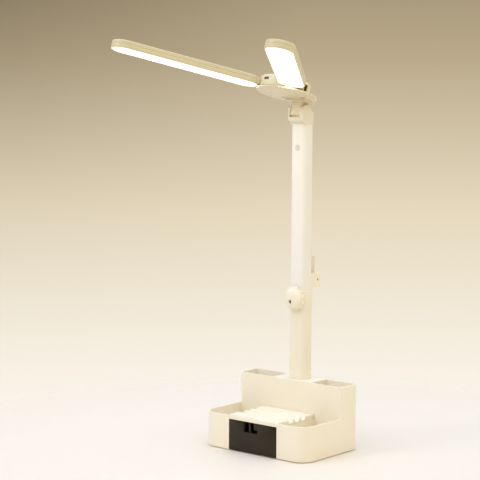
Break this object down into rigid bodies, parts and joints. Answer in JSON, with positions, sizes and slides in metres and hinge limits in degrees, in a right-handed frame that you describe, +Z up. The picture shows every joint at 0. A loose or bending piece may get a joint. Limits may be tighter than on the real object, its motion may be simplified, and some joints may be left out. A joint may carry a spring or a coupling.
{
  "type": "desk lamp with drawer base",
  "caption": "Desk lamp with two swivelling light wings on a telescopic post, standing on an organizer base with cups, a device rest and a drawer.",
  "frame": {"origin": "centre of the base's underside, on the table", "axes": "+Z up along the post, the drawer faces -Y, +X to the right seen from the drawer's side"},
  "size_m": [0.2834, 0.2538, 0.5312],
  "materials": {
    "ivory_shell": "satin moulded ABS, warm ivory",
    "post_paint": "drawn tube, satin powder coat in warm ivory",
    "smoked_plastic": "glossy smoked near-black brown",
    "light_diffuser": "opal white, lit from behind",
    "clear_guide": "clear acrylic with printed dots",
    "led_strip": "white solder mask",
    "touch_ring": "pale grey touch key",
    "circuit_board": "green solder mask",
    "battery_wrap": "shrink wrap",
    "inner_plastic": "moulded, unseen",
    "screw_steel": "zinc plated steel",
    "ballast_steel": "punched plate",
    "pad_rubber": "soft foam rubber"
  },
  "bodies": {
    "base": {"base_shell": "ivory_shell", "device_rest": "ivory_shell", "bottom_cover": "ivory_shell", "ballast_plate": "ballast_steel", "grip_pad": "pad_rubber", "cover_screws": "screw_steel", "drawer_runners": "ivory_shell", "post_socket": "inner_plastic", "socket_screws": "screw_steel", "battery_pack": "battery_wrap", "control_board": "circuit_board", "board_screws": "screw_steel", "usb_port": "screw_steel", "lower_post": "post_paint", "clamp_collar": "ivory_shell"},
    "drawer": {"drawer_box": "smoked_plastic", "notch_ribs": "smoked_plastic", "drawer_front": "smoked_plastic", "front_screws": "screw_steel"},
    "knob": {"clamp_knob": "ivory_shell", "clamp_screw": "screw_steel"},
    "mast": {"upper_post": "post_paint", "slide_plug": "inner_plastic", "post_head": "ivory_shell", "head_screws": "screw_steel", "touch_board": "circuit_board", "touch_key": "touch_ring", "indicator_light": "light_diffuser", "hook_bracket": "ivory_shell", "bracket_screws": "screw_steel", "hook_pin": "screw_steel", "tilt_pin": "screw_steel", "pin_caps": "ivory_shell"},
    "hook": {"hook_arm": "ivory_shell"},
    "head": {"hub_base": "ivory_shell", "hub_cover": "ivory_shell", "hub_screws": "screw_steel", "friction_washers": "screw_steel", "wing_pivots": "screw_steel", "hub_board": "circuit_board", "sensor_window": "smoked_plastic"},
    "left_wing": {"left_wing_frame": "ivory_shell", "left_wing_cover": "ivory_shell", "left_diffuser": "light_diffuser", "left_light_guide": "clear_guide", "left_led_board": "led_strip"},
    "right_wing": {"right_wing_frame": "ivory_shell", "right_wing_cover": "ivory_shell", "right_diffuser": "light_diffuser", "right_light_guide": "clear_guide", "right_led_board": "led_strip"}
  },
  "joints": [
    {"name": "drawer_slide", "type": "slide", "parent": "base", "child": "drawer", "axis": [0, -1, 0], "range_m": [0, 0.06]},
    {"name": "knob_turn", "type": "hinge", "parent": "base", "child": "knob", "pos_m": [0.0024, 0.0274, 0.1945], "axis": [0, -1, 0], "range_deg": [0, 270]},
    {"name": "post_slide", "type": "slide", "parent": "base", "child": "mast", "axis": [0, 0, 1], "range_m": [0, 0.1]},
    {"name": "hook_fold", "type": "hinge", "parent": "mast", "child": "hook", "pos_m": [0.0024, 0.0667, 0.2163], "axis": [-1, 0, 0], "range_deg": [0, 90]},
    {"name": "head_tilt", "type": "hinge", "parent": "mast", "child": "head", "pos_m": [0.0024, 0.033, 0.434], "axis": [1, 0, 0], "range_deg": [-30, 40]},
    {"name": "left_wing_swivel", "type": "hinge", "parent": "head", "child": "left_wing", "pos_m": [-0.0161, -0.00192, 0.47197], "axis": [0, -0.2924, -0.9563], "range_deg": [0, 35]},
    {"name": "right_wing_swivel", "type": "hinge", "parent": "head", "child": "right_wing", "pos_m": [0.0209, -0.00192, 0.47197], "axis": [0, 0.2924, 0.9563], "range_deg": [0, 35]}
  ]
}
